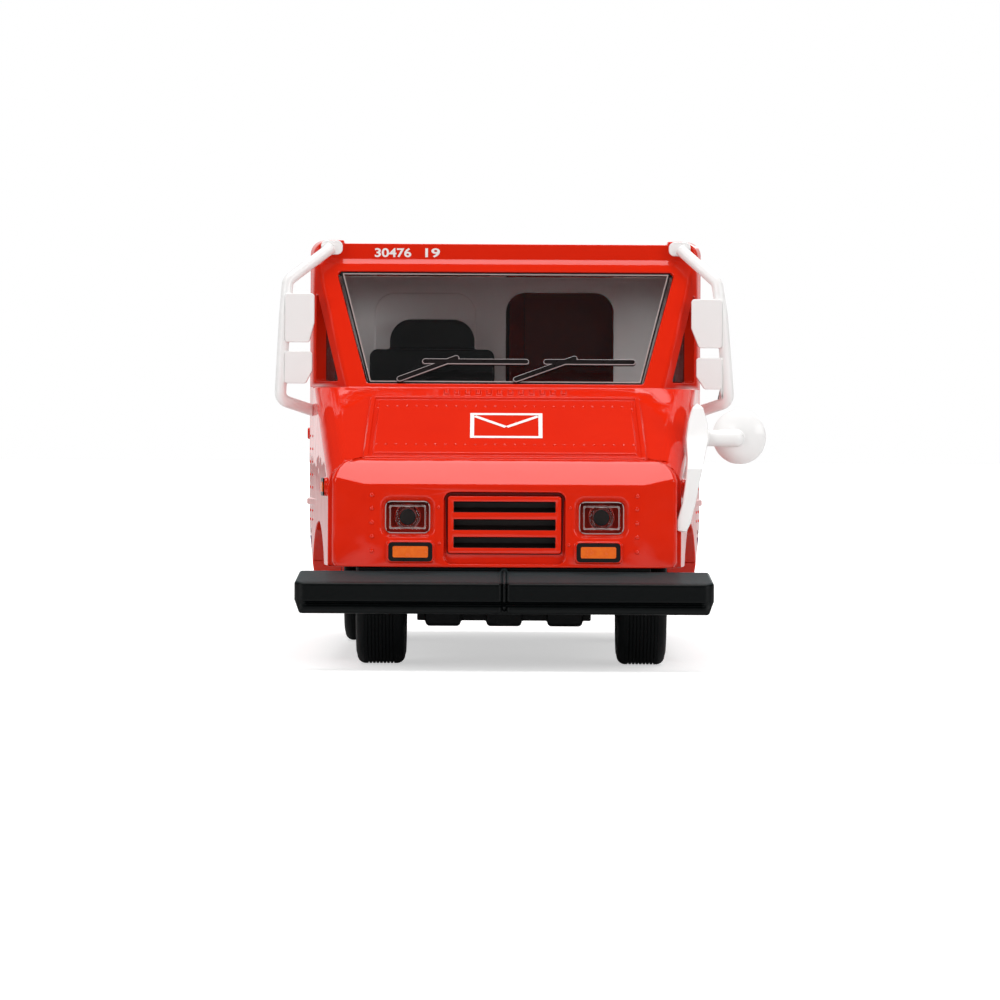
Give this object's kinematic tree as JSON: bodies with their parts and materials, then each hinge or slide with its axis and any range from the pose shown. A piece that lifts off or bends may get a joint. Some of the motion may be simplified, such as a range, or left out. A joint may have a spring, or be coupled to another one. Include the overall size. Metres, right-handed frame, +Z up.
{
  "type": "mail delivery truck scale model",
  "caption": "Die-cast scale model of a right-hand-drive mail delivery van with a sloping nose, boxy cargo body, side mirror brackets and two rolling wheelsets.",
  "frame": {"origin": "centre of the base plate's flat underside, on the centre line midway between the axles", "axes": "+Z up, the nose faces -Y, +X is the vehicle's left"},
  "size_m": [0.0377, 0.0699, 0.0327],
  "materials": {
    "body_paint": "thick gloss enamel on die-cast zinc",
    "base_plastic": "moulded, matt",
    "bumper_plastic": "moulded, satin",
    "screw_steel": "zinc plated",
    "clear_glass": "clear moulded polystyrene",
    "lamp_lens": "clear moulded polystyrene",
    "tail_red": "moulded",
    "interior_grey": "moulded, satin",
    "dash_black": "moulded, satin",
    "seat_black": "moulded, matt grain",
    "mirror_white": "moulded, gloss",
    "axle_steel": "drawn wire",
    "hub_silver": "moulded, silver",
    "tyre_rubber": "moulded, matt"
  },
  "bodies": {
    "truck": {"body_shell": "body_paint", "base_plate": "base_plastic", "base_screws": "screw_steel", "front_bumper": "bumper_plastic", "rear_bumper": "bumper_plastic", "windscreen": "clear_glass", "door_glass_left": "clear_glass", "door_glass_right": "clear_glass", "quarter_glass_left": "clear_glass", "quarter_glass_right": "clear_glass", "headlamp_lens_left": "lamp_lens", "headlamp_lens_right": "lamp_lens", "tail_lamp_left": "tail_red", "tail_lamp_right": "tail_red", "interior_tub": "interior_grey", "dashboard": "dash_black", "driver_seat": "seat_black", "steering_wheel": "dash_black", "mirror_arm_left": "mirror_white", "mirror_arm_right": "mirror_white", "cross_view_mirror": "mirror_white"},
    "front_wheelset": {"front_axle": "axle_steel", "front_hub_left": "hub_silver", "front_hub_right": "hub_silver", "front_tyre_left": "tyre_rubber", "front_tyre_right": "tyre_rubber"},
    "rear_wheelset": {"rear_axle": "axle_steel", "rear_hub_left": "hub_silver", "rear_hub_right": "hub_silver", "rear_tyre_left": "tyre_rubber", "rear_tyre_right": "tyre_rubber"}
  },
  "joints": [
    {"name": "front_axle_spin", "type": "hinge", "parent": "truck", "child": "front_wheelset", "pos_m": [0, -0.02, 0.0007], "axis": [1, 0, 0], "continuous": true},
    {"name": "rear_axle_spin", "type": "hinge", "parent": "truck", "child": "rear_wheelset", "pos_m": [0, 0.02, 0.0007], "axis": [1, 0, 0], "continuous": true}
  ]
}
